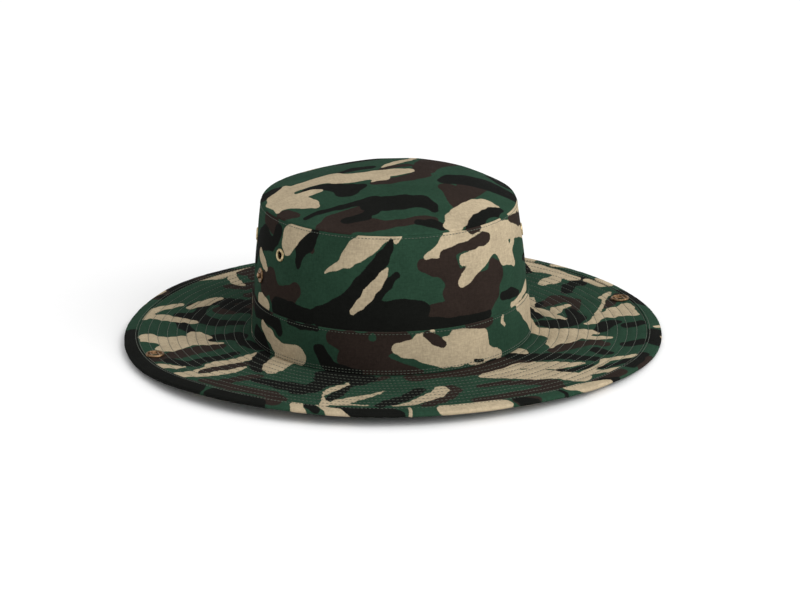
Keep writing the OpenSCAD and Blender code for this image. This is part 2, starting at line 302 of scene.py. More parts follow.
SIDE_PRINT = {
    "sand": [
        [(212.5, 90, 4), (207, 86, 6), (202.5, 80, 7), (201, 74, 5.5), (201, 71, 3)],
        [
            (250, 90.5, 5), (243, 86, 7.5), (237, 79, 6.5),
            (233, 73.5, 5), (228, 68, 2.4), (222.5, 63.2, 0.7),
        ],
        [(257, 91, 2), (254, 86.5, 2.8)],
        [(243, 78.5, 1)],
        [(250, 69, 0.7), (248.3, 64, 2.4), (245, 58, 3.4), (242, 52, 3.4), (238.5, 46, 3), (235, 41, 2.4)],
        [(178, 60, 4), (183, 57, 3.5), (186, 54.5, 2)],
        [(180, 31, 4.5), (183, 31, 4.8), (188, 30.5, 4.5)],
        [(280, 88, 7), (276, 83, 5), (271, 77, 3.6), (267, 74.7, 1.9)],
        [(280, 85, 5), (288, 83.5, 4.2), (294, 85, 3.5), (300, 88, 5)],
        [(302, 76, 8), (296, 71.5, 5.5), (289, 70.5, 4.5), (284.5, 70, 3.6)],
        [(296, 69, 5), (290, 64, 4.6), (285.5, 59, 4.6), (282.5, 56, 3.3)],
        [(305, 86, 9), (307, 75, 9), (310, 67, 8), (314, 61, 5), (317, 56, 2.6)],
        [(316, 67, 3), (318, 70, 3)],
        [(320, 90, 5), (335, 85, 5), (350, 79, 5), (362, 69, 5), (370, 50, 7), (368, 38, 6)],
        [(312, 81, 6), (325, 74, 4), (340, 67, 4), (352, 60, 4), (362, 57, 5)],
        [(337, 58, 1.5), (344, 55, 2.5), (349, 53, 1)],
        [(334, 33, 4), (322, 31, 2), (312, 30, 2)],
    ],
    "brown": [
        [(183, 86, 6), (190, 84, 6)],
        [(185, 44, 9), (190, 51, 6.5), (195, 40, 7), (203, 42, 7), (208, 48, 5)],
        [(265, 70, 3.8), (270, 69, 6), (276, 68, 8), (279, 60, 8)],
        [(276, 50, 5), (285, 48, 12), (297, 50, 10), (303, 56, 7), (300, 62, 4)],
        [(300, 43, 5), (292, 37, 8), (280, 37, 9), (268, 38, 7)],
        [(212, 80, 3), (216, 76, 2)],
    ],
    "ink": [
        [(194, 81, 5), (192, 75, 4)],
        [(216, 87.5, 4.5), (213, 81, 6.5), (209.5, 76, 5), (208.7, 66, 2.7), (208.5, 63.5, 1.6)],
        [(196, 34, 6), (206, 34, 6), (214, 35, 4)],
        [
            (247, 73, 5), (243.5, 66, 5.5), (239, 58, 6), (235, 50, 6),
            (229, 42, 6), (221, 36, 6), (212, 31, 4),
        ],
        [(253.8, 64.5, 2.4), (250, 59, 2.8), (246.5, 53, 3), (243, 48, 4)],
        [(232, 38, 8), (244, 40, 8), (255, 41, 8), (263, 42, 6.5)],
        # Painted shadow, not print: this dark ink strip along the front, just above the band, stands for the
        # shade along the top of the band.
        [(222, 31, 5), (240, 32, 5), (262, 32, 5), (280, 31, 3), (295, 31, 3)],
        [(305, 39, 3), (312, 38, 3.4), (320, 35, 2)],
        [(330, 54, 2), (340, 49, 3), (352, 45, 2)],
    ],
    "ink_notch": [[(252, 85.5, 1.6), (251, 81, 2.4), (248, 75, 4.6), (246, 71, 5)]],
    "brown_notch": [
        [(317.5, 85, 2), (330, 80, 5), (345, 73, 6), (358, 65, 4)],
        [(275, 75, 4), (283, 77.5, 2.6), (290, 78.5, 3.2), (296, 80.5, 3.5), (298.5, 80.5, 3.3)],
        [(287.5, 91, 3), (291, 89, 4.5), (293.5, 88, 3)],
        [(284.5, 64.5, 1.2), (283, 63.8, 1.4)],
    ],
    "green_notch": [[(256, 57, 6.5), (263, 55.5, 6.5), (268, 54.5, 5.5)]],
}
BAND_PRINT = {
    "sand": [
        [(186, 17, 3.2), (192, 13, 4), (197, 8, 4.5), (204, 4, 7), (210, 6.5, 7)],
        [(200, 0, 6)],
        [(253, 18, 3.4), (258, 17, 6), (264, 17, 9), (272, 13, 10), (281, 14, 11), (289, 13, 8)],
        [(262, 23.5, 3.8), (268, 27.5, 2)],
        [(277, 24, 3), (291, 19, 4)],
        [(285, 6, 5), (293, 6, 4.5), (299, 3, 3)],
        [(303.5, 26.5, 1.4), (302.7, 23, 1.1), (304.3, 20.5, 1.3)],
        [(318, 28, 5), (326, 22, 9), (334, 14, 11), (345, 8, 12)],
    ],
    "brown": [
        [(227, 23, 5), (235, 20, 8), (245, 20, 9), (256, 24, 5)],
        [(234, 10, 8), (243, 8, 9), (252, 5, 5), (262, 1, 2.5)],
        [(284, 27.5, 3.5), (289, 26, 4.5), (295, 27, 3.5)],
    ],
    "ink": [
        [(176, 24, 6), (190, 25, 5), (197, 22, 4.5), (199, 18, 3.5)],
        [(179, 6, 8), (186, 6, 6), (190, 2, 4)],
        [(221, 13, 5), (224, 7, 5), (227, 2, 5), (238, 1, 2.5)],
        [(205, 27, 2), (220, 27, 2)],
    ],
    "ink_notch": [[(286, 4.2, 1.3), (290, 3.2, 1)], [(296, 0, 1.6), (292, 0, 1.4)]],
    "brown_notch": [[(265, 26.5, 2.6), (269, 22, 3.5), (271.5, 18.5, 2.9)]],
    "green_notch": [[(243.5, 25, 2.8)]],
}
# The tip's strokes are (millimetres to the wearer's left, millimetres to the back, radius).
TIP_PRINT = {
    "sand": [
        [(-60, 37, 1.5), (-62, 28, 5), (-68, 18, 8.5), (-71, 6, 9.5), (-70, -3, 9)],
        [(-66, 4, 8), (-63, -8, 8), (-59, -17, 6), (-56.5, -24, 3)],
        [(-74, -2, 6), (-79, -12, 1.5)],
        [
            (-62, 22, 7), (-52, 23.5, 8), (-42, 24, 8.5), (-34, 22, 9.5),
            (-27, 12, 9), (-18, 7, 9.5), (-6, 5, 10),
        ],
        [(-6, 5, 10), (6, 3, 8), (14, 2, 6)],
        [(-8, -5, 5), (-4, -7, 4)],
        [(-13, -8.5, 1.5)],
        [(-60, 4, 6), (-52, 3, 5.5), (-47.5, 1, 3)],
        [
            (4, 21, 1.5), (10, 25, 3.5), (17, 29, 4), (24, 33, 3.2),
            (31, 41, 2), (37, 54, 1.8), (40, 68, 1.6), (41, 78, 2),
        ],
        [
            (57, -58, 1.2), (50, -56, 4), (42, -59, 5.5), (34, -65, 6),
            (27, -71, 6.5), (21, -78, 7), (16, -85, 6),
        ],
        [(-30, 78, 6), (-16, 82, 7), (0, 80, 4)],
    ],
    "brown": [
        [(25, -2, 7), (30, 8, 9), (36, 18, 10), (44, 26, 12), (52, 40, 14), (56, 56, 14), (56, 70, 12)],
        [(-12, -12, 4), (-2, -14, 5), (10, -14, 6), (20, -10, 7)],
        [(66, 34, 8), (64, 48, 8)],
        [(2, 16, 3), (10, 17, 3.5), (18, 16, 4.5)],
        [(-60, -56, 7), (-52, -52, 8), (-42, -50, 8), (-34, -48, 6)],
        [
            (-56, -60, 8), (-46, -64, 9), (-36, -68, 9), (-26, -72, 7),
            (-14, -75, 5), (-2, -75, 4), (6, -77, 3),
        ],
        [(30, -36, 7), (32, -46, 8), (30, -58, 7), (27, -66, 4)],
        [(44, -34, 7), (40, -46, 6), (54, -30, 6)],
        [(-76, -17, 5), (-74, -24, 5), (-71, -28, 3)],
    ],
    "ink": [
        [(-58, 9, 1), (-51, 12, 2), (-45, 9, 5), (-38, 2, 6), (-32, -8, 8), (-32, -16, 8), (-24, -13, 6)],
        [(-67, -36.5, 2.5), (-56, -34.5, 3), (-44, -36, 3), (-32, -38, 4), (-22, -38, 5)],
        [(-26, -46, 8), (-16, -48, 10), (-6, -50, 10), (4, -53, 8), (9, -60, 5), (10.5, -68, 2.5)],
        [(-44, -57, 5), (-34, -59, 5), (-28, -55, 5)],
        [(-4, -78, 3), (4, -81, 4), (9, -86, 4)],
        [(33, -24, 6), (40, -21, 9), (50, -21, 11), (60, -24, 12), (68, -28, 10), (76, -34, 8)],
        [(-24, 27, 3), (-14, 29, 5), (-4, 27, 5)],
        [(56, -62, 3), (49, -66, 5), (41, -70, 5), (36, -76, 5), (31, -83, 5), (27, -89, 4)],
        [(-80, 22, 3), (-74, 31, 5), (-66, 37, 5)],
        [(-10, 62, 7), (6, 60, 8), (14, 70, 6)],
        [(76, 4, 6), (78, -10, 6)],
    ],
    "green_notch": [[(-29, -62.5, 2), (-22, -65, 4), (-12, -67, 4), (0, -68, 3.5), (6, -71, 2)]],
}
# The binding's strokes are (degrees, millimetres across the strip from its top inner edge, radius).
BINDING_PRINT = {
    "sand": [
        [(230.3, -2, 3.4), (231, 4, 4), (232, 11, 4.5), (232, 16, 4)],
        [(235.3, -2, 3), (237, 4, 2), (239.5, 9, 5), (241.5, 13, 4)],
        [(254.6, -2, 0.9), (254.6, 14, 0.9)],
        [(262.5, 6, 7), (269, 7, 8), (273.5, 8, 8)],
        [(291.5, 3, 5), (296, 8, 6), (301, 12, 6)],
        [(335, 10, 2)],
        [(340.5, 5, 1.2), (342, 9, 2)],
        [(371, 0, 5), (375, 8, 7)],
    ],
    "brown": [
        [(168, 3, 4), (173, 4, 4)],
        [(217, 2, 5), (226, 4, 5)],
        [(278, 6, 5), (281, 8, 5)],
        [(315, 10, 6), (320, 10, 6)],
        [(300, 3, 6), (308, 4, 5)],
    ],
    "ink": [
        [(163, 8, 9), (175, 7, 11), (186, 6, 11), (194, 5, 10), (206, 8, 8)],
        [(212, 8, 9), (222, 10, 9)],
        [(233.5, 2, 4), (235.5, 8, 3)],
        [(242, 2, 9), (248, 6, 12), (251, 12, 9)],
        [(278, 4, 4), (280, 12, 7)],
        [(288.5, 0, 1.5), (288.8, 12, 1.5)],
        [(301, 8, 6), (304, 12, 5)],
        [(313, 3, 5), (322, 3, 4)],
        [(331, 6, 7), (337, 7, 8)],
        [(357, 6, 6), (365, 6, 7)],
    ],
    "green_notch": [[(256.6, -2, 3.4), (257.2, 6, 4.2), (257.5, 14, 4.2)]],
}


def scattered(draw, u_span, v_span, count, per_u, length, radius):
    """Random strokes like the listed ones, for the cloth that the print lists don't cover."""
    strokes = []
    for _ in range(count):
        u, v = draw.uniform(*u_span), draw.uniform(*v_span)
        heading = draw.normal(0.25, 0.6) + (math.pi if draw.random() < 0.5 else 0)
        steps, r = int(draw.integers(3, 6)), draw.uniform(*radius)
        stroke = []
        for k in range(steps):
            taper = 0.45 + 0.55 * math.sin(math.pi * (k + 0.6) / (steps + 0.2))
            stroke.append((u, v, max(0.8, r * taper * draw.uniform(0.75, 1.2))))
            step = draw.uniform(*length) / steps
            heading += draw.normal(0, 0.5)
            u, v = u + step * math.cos(heading) / per_u, v + step * math.sin(heading)
        strokes.append(stroke)
    return strokes


def with_scatter(print_, seed, u_span, v_span, per_u, count):
    draw = np.random.default_rng(seed)
    more = {k: list(v) for k, v in print_.items()}
    for name, share, radius in (("brown", 1.0, (6, 11)), ("ink", 0.8, (4, 9)), ("sand", 0.85, (3.5, 8))):
        more.setdefault(name, []).extend(
            scattered(draw, u_span, v_span, round(count * share), per_u, (35, 75), radius)
        )
    return more


def depth(u, v, per_u, strokes, wraps=True):
    """How far inside a set of tapered strokes each point lies, in millimetres; negative outside."""
    best = np.full(u.shape, -40.0)
    for stroke in strokes:
        for a, b in zip(stroke, stroke[1:] or stroke):
            du = u - a[0]
            if wraps:
                du = (du + 180) % 360 - 180
            px, py = du * per_u, v - a[1]
            sx, sy = (b[0] - a[0]) * per_u, np.full(u.shape, float(b[1] - a[1]))
            k = np.clip((px * sx + py * sy) / np.maximum(sx * sx + sy * sy, 1e-9), 0, 1)
            d = a[2] + (b[2] - a[2]) * k - np.hypot(px - k * sx, py - k * sy)
            near = np.maximum(2.0 - np.abs(best - d), 0)
            best = np.maximum(best, d) + near * near / 8
    return best


def printed(print_, u, v, per_u, flat, wraps=True, wobble=0.9):
    """Signed distances in millimetres to the sand, brown and ink of the print."""
    shift = wobble * noise(flat, 9, 5) + 0.5 * wobble * noise(flat, 4, 6)
    shift2 = wobble * noise(flat, 9, 8) + 0.5 * wobble * noise(flat, 4, 9)
    per_u = np.broadcast_to(per_u, u.shape)
    u, v = u + shift / per_u, v + shift2
    found = {k: depth(u, v, per_u, s, wraps) for k, s in print_.items()}
    sand, brown, ink = found["sand"], found["brown"], found["ink"]
    for name in ("green_notch", "ink_notch", "brown_notch"):
        if name in found:
            cut = found[name]
            sand = np.minimum(sand, -cut)
            ink = np.maximum(ink, cut) if name == "ink_notch" else np.minimum(ink, -cut)
            brown = np.maximum(brown, cut) if name == "brown_notch" else np.minimum(brown, -cut)
    return {"sand": sand, "brown": brown, "ink": ink}


# ---------------------------------------------------------------- meshes
def grid_faces(rows, cols, start=0, closed=False, flip=False):
    r, c = np.meshgrid(np.arange(rows - 1), np.arange(cols if closed else cols - 1), indexing="ij")
    n = (c + 1) % cols
    quads = np.stack([r * cols + c, r * cols + n, (r + 1) * cols + n, (r + 1) * cols + c], -1).reshape(-1, 4)
    if flip:
        quads = quads[:, ::-1]
    return quads + start


def make_mesh(name, verts_mm, faces, fields=None):
    mesh = bpy.data.meshes.new(name)
    verts = np.asarray(verts_mm, float).reshape(-1, 3) * MM
    if isinstance(faces, np.ndarray):
        loops = faces.astype(np.int32)
        mesh.vertices.add(len(verts))
        mesh.vertices.foreach_set("co", verts.ravel())
        mesh.loops.add(loops.size)
        mesh.loops.foreach_set("vertex_index", loops.ravel())
        mesh.polygons.add(len(loops))
        mesh.polygons.foreach_set("loop_start", np.arange(0, loops.size, loops.shape[1], dtype=np.int32))
        mesh.update(calc_edges=True)
    else:
        mesh.from_pydata(verts.tolist(), [], faces)
    mesh.validate()
    for key, values in (fields or {}).items():
        values = np.asarray(values, float)
        kind = "FLOAT_VECTOR" if values.ndim == 2 else "FLOAT"
        attribute = mesh.attributes.new(key, kind, "POINT")
        slot = "vector" if values.ndim == 2 else "value"
        attribute.data.foreach_set(slot, values.astype(np.float32).ravel())
    mesh.polygons.foreach_set("use_smooth", np.full(len(mesh.polygons), True))
    obj = bpy.data.objects.new(name, mesh)
    bpy.context.collection.objects.link(obj)
    return obj


def grid_normals(p, closed=False):
    """Unit normals of a grid of points, rows by columns."""
    if closed:
        along = np.roll(p, -1, 1) - np.roll(p, 1, 1)
    else:
        along = np.gradient(p, axis=1)
    n = np.cross(along, np.gradient(p, axis=0))
    return n / np.maximum(np.linalg.norm(n, axis=-1, keepdims=True), 1e-9)


def shell(name, outer, inner, fields, closed=False, normals=None, drop_cells=()):
    """A thin closed sheet between two grids of points; the field 'reverse' marks its inner side."""
    rows, cols = outer.shape[:2]
    count = rows * cols
    cells = cols if closed else cols - 1
    keep = np.ones((rows - 1) * cells, bool)
    walls = []
    for r, c in drop_cells:
        keep[r * cells + c] = False
        corners = [r * cols + c, r * cols + c + 1, (r + 1) * cols + c + 1, (r + 1) * cols + c]
        walls += [[b, a, a + count, b + count] for a, b in zip(corners, corners[1:] + corners[:1])]
    out_faces = grid_faces(rows, cols, 0, closed)[keep]
    in_faces = grid_faces(rows, cols, count, closed, flip=True)[keep]
    for r, turn in ((0, False), (rows - 1, True)):
        for c in range(cells):
            a, b = r * cols + c, r * cols + (c + 1) % cols
            q = [b, a, a + count, b + count]
            walls.append(q[::-1] if turn else q)
    if not closed:
        for c, turn in ((0, True), (cols - 1, False)):
            for r in range(rows - 1):
                a, b = r * cols + c, (r + 1) * cols + c
                q = [b, a, a + count, b + count]
                walls.append(q[::-1] if turn else q)
    faces = np.concatenate([out_faces, in_faces, np.array(walls)])
    both = {}
    for key, values in fields.items():
        values = np.asarray(values, float)
        flat = values.reshape(-1, 3) if values.ndim == 3 else values.reshape(-1)
        both[key] = np.concatenate([flat, flat])
    both["reverse"] = np.concatenate([np.zeros(count), np.ones(count)])
    obj = make_mesh(name, np.concatenate([outer.reshape(-1, 3), inner.reshape(-1, 3)]), faces, both)
    if normals is not None:
        n = normals.reshape(-1, 3)
        obj.data.normals_split_custom_set_from_vertices(np.concatenate([n, -n]))
    return obj


def stitches(points, normals, pitch, length=0.7, radius=0.22, sides=6, closed=True):
    """Thread stitches laid along a line of points, each a small arched capsule half sunk in the cloth."""
    p = np.asarray(points, float)
    n = np.asarray(normals, float)
    if closed:
        p, n = np.concatenate([p, p[:1]]), np.concatenate([n, n[:1]])
    run = np.concatenate([[0], np.cumsum(np.linalg.norm(np.diff(p, axis=0), axis=1))])
    count = max(1, int(round(run[-1] / pitch)))
    pitch = run[-1] / count
    where = (np.arange(count) + 0.5) * pitch

    def at(x, values):
        return np.stack([np.interp(x, run, values[:, k]) for k in range(3)], -1)

    a, b = at(where - 0.5 * length * pitch, p), at(where + 0.5 * length * pitch, p)
    up = at(where, n)
    ahead = b - a
    long = np.linalg.norm(ahead, axis=1, keepdims=True)
    ahead = ahead / long
    side = np.cross(up, ahead)
    side /= np.linalg.norm(side, axis=1, keepdims=True)
    up = np.cross(ahead, side)
    centre = at(where, p)
    verts = []
    for x, r, z in ((-0.5, 0.45, -0.35), (-0.24, 1.0, 0.55), (0.24, 1.0, 0.55), (0.5, 0.45, -0.35)):
        for k in range(sides):
            angle = TAU * (k + 0.5) / sides
            verts.append(
                centre
                + ahead * long * x
                + side * radius * 1.15 * r * math.cos(angle)
                + up * radius * (r * math.sin(angle) + z)
            )
    return np.stack(verts, 1)


class Thread:
    """Collects stitches and turns them into one mesh for each side of the hat."""

    def __init__(self, sides=6):
        self.sides, self.verts = sides, []

    def line(self, points, normals, pitch, **options):
        self.verts.append(stitches(points, normals, pitch, sides=self.sides, **options))

    def build(self, name, half=None):
        verts = np.concatenate(self.verts)
        if half:
            verts = verts[verts[:, :, 0].mean(1) * half > 0]
        sides, per = self.sides, self.sides * 4
        quads = []
        for ring in range(3):
            for k in range(sides):
                a, b = ring * sides + k, ring * sides + (k + 1) % sides
                quads.append([a, b, b + sides, a + sides])
        faces = (np.array(quads)[None] + (np.arange(len(verts)) * per)[:, None, None]).reshape(-1, 4).tolist()
        for m in range(len(verts)):
            faces.append([m * per + k for k in range(sides)][::-1])
            faces.append([m * per + 3 * sides + k for k in range(sides)])
        return make_mesh(name, verts.reshape(-1, 3), faces)


def lathe(name, profile, place, segments=40):
    """A turned part: profile is a closed line of (radius, height); place is a matrix in millimetres."""
    angles = np.arange(segments) * TAU / segments
    ring = [xyz(r * np.cos(angles), r * np.sin(angles), z) for r, z in profile if r > 0]
    verts = np.concatenate(ring)
    rings = len(ring)
    faces = []
    solid = profile[0][0] == 0
    for i in range(rings - 1 if solid else rings):
        j = (i + 1) % rings
        for k in range(segments):
            n = (k + 1) % segments
            faces.append([i * segments + k, i * segments + n, j * segments + n, j * segments + k])
    if solid:
        verts = np.concatenate([verts, [[0, 0, profile[0][1]], [0, 0, profile[-1][1]]]])
        for k in range(segments):
            n = (k + 1) % segments
            faces.append([rings * segments, n, k])
            faces.append([rings * segments + 1, (rings - 1) * segments + k, (rings - 1) * segments + n])
    full = np.concatenate([verts, np.ones((len(verts), 1))], 1) @ np.array(place, float).T
    return make_mesh(name, full[:, :3], faces, {"flat": verts})


def frame_matrix(centre, normal, along):
    z = Vector(normal).normalized()
    x = (Vector(along) - z * z.dot(Vector(along))).normalized()
    y = z.cross(x)
    m = Matrix((x, y, z)).transposed().to_4x4()
    m.translation = Vector(centre)
    return m


# ---------------------------------------------------------------- materials
def srgb(r, g, b):
    def linear(v):
        v /= 255
        return v / 12.92 if v <= 0.04045 else ((v + 0.055) / 1.055) ** 2.4

    return (linear(r), linear(g), linear(b), 1.0)


SAND, GREEN, BROWN, INK = srgb(170, 155, 129), srgb(37, 61, 47), srgb(43, 35, 31), srgb(20, 21, 19)


class Nodes:
    """Small helper for building a material's node tree."""

    def __init__(self, name):
        self.material = bpy.data.materials.new(name)
        self.material.use_nodes = True
        self.tree = self.material.node_tree
        self.tree.nodes.clear()
        self.output = self.tree.nodes.new("ShaderNodeOutputMaterial")
        self.shader = self.add("ShaderNodeBsdfPrincipled")
        self.link(self.shader.outputs[0], self.output.inputs["Surface"])

    def add(self, kind, **values):
        node = self.tree.nodes.new(kind)
        for key, value in values.items():
            if hasattr(node, key):
                setattr(node, key, value)
            else:
                node.inputs[key.replace("_", " ")].default_value = value
        return node

    def link(self, a, b):
        self.tree.links.new(a, b)

    def attribute(self, name, vector=False):
        node = self.add("ShaderNodeAttribute", attribute_name=name)
        return node.outputs["Vector" if vector else "Fac"]

    def math(self, operation, a, b):
        node = self.tree.nodes.new("ShaderNodeMath")
        node.operation = operation
        for i, value in enumerate((a, b)):
            if isinstance(value, (int, float)):
                node.inputs[i].default_value = value
            else:
                self.link(value, node.inputs[i])
        return node.outputs[0]

    def mix(self, factor, a, b, blend="MIX"):
        node = self.tree.nodes.new("ShaderNodeMix")
        node.data_type, node.blend_type = "RGBA", blend
        for socket, value in ((node.inputs[0], factor), (node.inputs[6], a), (node.inputs[7], b)):
            if isinstance(value, (int, float, tuple)):
                socket.default_value = value
            else:
                self.link(value, socket)
        return node.outputs[2]

    def step(self, value, low, high):
        node = self.add("ShaderNodeMapRange", interpolation_type="SMOOTHSTEP")
        self.link(value, node.inputs["Value"])
        node.inputs["From Min"].default_value = low
        node.inputs["From Max"].default_value = high
        return node.outputs["Result"]

    def scaled(self, vector, x, y, z=1.0):
        node = self.add("ShaderNodeMapping")
        node.inputs["Scale"].default_value = (x, y, z)
        self.link(vector, node.inputs["Vector"])
        return node.outputs["Vector"]

    def noise(self, vector, scale, detail=2.0, rough=0.5):
        node = self.add("ShaderNodeTexNoise", Scale=scale, Detail=detail, Roughness=rough)
        self.link(vector, node.inputs["Vector"])
        return node.outputs["Fac"]

    def wave(self, vector, scale, direction):
        node = self.add("ShaderNodeTexWave", bands_direction=direction, Scale=scale, Distortion=0.0)
        self.link(vector, node.inputs["Vector"])
        return node.outputs["Fac"]

    def bump(self, height, distance, strength):
        node = self.add("ShaderNodeBump", Strength=strength, Distance=distance)
        self.link(height, node.inputs["Height"])
        return node.outputs["Normal"]


def weave(n, flat, pitch=0.55):
    """Heights of a plain weave's threads and of its slubs, over coordinates in millimetres."""
    turn = TAU / (20 * pitch)  # a wave texture repeats every tau / (20 * scale)
    over = n.wave(flat, turn, "X")
    under = n.wave(flat, turn, "Y")
    threads = n.math("MAXIMUM", over, under)
    slub_u = n.noise(n.scaled(flat, 2.2, 0.16), 1.0, 2)
    slub_v = n.noise(n.scaled(flat, 0.16, 2.2), 1.0, 2)
    slubs = n.math("ADD", slub_u, slub_v)
    return threads, slubs


def cloth_material(name, pattern=True, colour=GREEN, fade=0.35, depth_mm=0.07):
    n = Nodes(name)
    flat = n.attribute("flat", vector=True)
    threads, slubs = weave(n, flat)
    base = n.mix(0.0, colour, colour)
    if pattern:
        ragged = n.math("MULTIPLY", n.math("SUBTRACT", n.noise(flat, 1.1, 2), 0.5), 0.9)
        # The ink field holds the print and also one painted shadow, the dark strip on the crown side just above
        # the band.
        for field, tint in (("brown", BROWN), ("ink", INK), ("sand", SAND)):
            value = n.math("ADD", n.attribute(field), ragged)
            base = n.mix(n.step(value, -0.22, 0.22), base, tint)
    # wide is random tone in the cloth and also painted shade standing in for soft folds about 20 mm across; it
    # darkens and lightens the colour in broad patches.
    wide = n.noise(flat, 0.045, 3, 0.6)
    fine = n.noise(flat, 0.5, 3, 0.65)
    tone = n.math("ADD", n.math("MULTIPLY", wide, 0.6), n.math("MULTIPLY", fine, 0.7))
    tone = n.math("ADD", tone, n.math("MULTIPLY", slubs, 0.5))
    tone = n.math("ADD", tone, n.math("MULTIPLY", threads, 0.10))
    tone = n.math("ADD", tone, -0.21)
    value = n.tree.nodes.new("ShaderNodeCombineColor")
    for k in range(3):
        n.link(tone, value.inputs[k])
    base = n.mix(1.0, base, value.outputs[0], "MULTIPLY")
    reverse = n.attribute("reverse")
    pale = n.mix(fade, base, srgb(104, 104, 88))
    base = n.mix(reverse, base, pale)
    n.link(base, n.shader.inputs["Base Color"])
    height = n.math("ADD", n.math("MULTIPLY", threads, 0.6), n.math("MULTIPLY", slubs, 0.5))
    height = n.math("ADD", height, n.math("MULTIPLY", fine, 0.6))
    n.link(n.bump(height, depth_mm * MM * 2.0, 0.8), n.shader.inputs["Normal"])
    rough = n.math("ADD", n.math("MULTIPLY", fine, 0.16), 0.80)
    n.link(rough, n.shader.inputs["Roughness"])
    n.shader.inputs["Specular IOR Level"].default_value = 0.03
    return n.material


def thread_material(name, colour):
    n = Nodes(name)
    place = n.add("ShaderNodeTexCoord").outputs["Object"]
    twist = n.noise(place, 900, 2)
    patch = n.noise(place, 60, 2)
    tone = n.math("ADD", n.math("MULTIPLY", twist, 0.5), n.math("MULTIPLY", patch, 0.3))
    dark = tuple(c * 0.55 for c in colour[:3]) + (1.0,)
    light = tuple(min(1, c * 1.35) for c in colour[:3]) + (1.0,)
    n.link(n.mix(n.step(tone, 0.2, 0.62), dark, light), n.shader.inputs["Base Color"])
    n.link(n.bump(twist, 0.00008, 0.7), n.shader.inputs["Normal"])
    n.link(n.math("ADD", n.math("MULTIPLY", patch, 0.2), 0.62), n.shader.inputs["Roughness"])
    n.shader.inputs["Sheen Weight"].default_value = 0.12
    return n.material


def metal_material(name, bright, dull, rough=0.34):
    n = Nodes(name)
    place = n.add("ShaderNodeTexCoord").outputs["Object"]
    patch = n.noise(place, 420, 4, 0.62)
    speck = n.noise(place, 2600, 2)
    scratch = n.noise(n.scaled(place, 900, 5200, 900), 1.0, 2)
    wear = n.step(n.math("ADD", patch, n.math("MULTIPLY", speck, 0.25)), 0.45, 0.82)
    n.link(n.mix(wear, bright, dull), n.shader.inputs["Base Color"])
    n.shader.inputs["Metallic"].default_value = 1.0
    blur = n.math("ADD", n.math("MULTIPLY", wear, 0.26), rough)
    n.link(n.math("ADD", blur, n.math("MULTIPLY", scratch, 0.1)), n.shader.inputs["Roughness"])
    height = n.math("ADD", n.math("MULTIPLY", speck, 0.6), n.math("MULTIPLY", scratch, 0.5))
    n.link(n.bump(height, 0.00003, 0.6), n.shader.inputs["Normal"])
    return n.material


CAMO = cloth_material("printed_cotton")
OLIVE = cloth_material("olive_cotton", pattern=False, colour=srgb(62, 66, 48), fade=0.1)
TAPE = cloth_material("tape_cotton", pattern=False, colour=srgb(52, 55, 44), fade=0.1, depth_mm=0.09)
LINING = cloth_material("interlining", pattern=False, colour=srgb(206, 200, 184), fade=0.0)
THREAD = thread_material("quilting_thread", srgb(70, 78, 65))
BRASS = metal_material("vent_brass", (0.62, 0.50, 0.29, 1), (0.30, 0.22, 0.11, 1), 0.26)
BRONZE = metal_material("snap_bronze", (0.36, 0.22, 0.12, 1), (0.12, 0.07, 0.035, 1), 0.30)
STEEL = metal_material("snap_wire", (0.50, 0.40, 0.28, 1), (0.26, 0.19, 0.12, 1), 0.28)


def finish_piece(obj, material, body=None, replaces=(), blend=None):
    obj.data.materials.clear()
    obj.data.materials.append(material)
    if replaces:
        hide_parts(*replaces)
    if blend:
        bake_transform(obj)
    else:
        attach(obj, body)


# ---------------------------------------------------------------- the vents' places on the wall
def vent_spot():
    """Angle and height of the vent on the wearer's left at the back; the others mirror it."""
    low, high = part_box("vent_eyelet_left_back")
    x, y, z = ((a + b) / 2 / MM for a, b in zip(low, high))
    h = z - BASE_Z
    reach = -LEAN * h / SIDE_H
    return math.atan2(y / (BASE_B + reach), x / (BASE_A + reach)), h


VENT_T, VENT_H = vent_spot()
VENT_HOLE_R = 3.6  # radius of the hole in the cloth
VENT_EASE = 5.4  # the cloth further out than this stays where it is
STUD_H = sum(c[2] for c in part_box("snap_stud_left")) / 2 / MM - BASE_Z
VENTS = {
    "left_back": VENT_T,
    "left_front": -VENT_T,
    "right_back": math.pi - VENT_T,
    "right_front": math.pi + VENT_T,
}


def half_cells(start, stop, step):
    """Grid lines between two marks that each sit in the middle of a cell."""
    n = max(2, round((stop - start) / step))
    return start + (np.arange(n) + 0.5) * (stop - start) / n


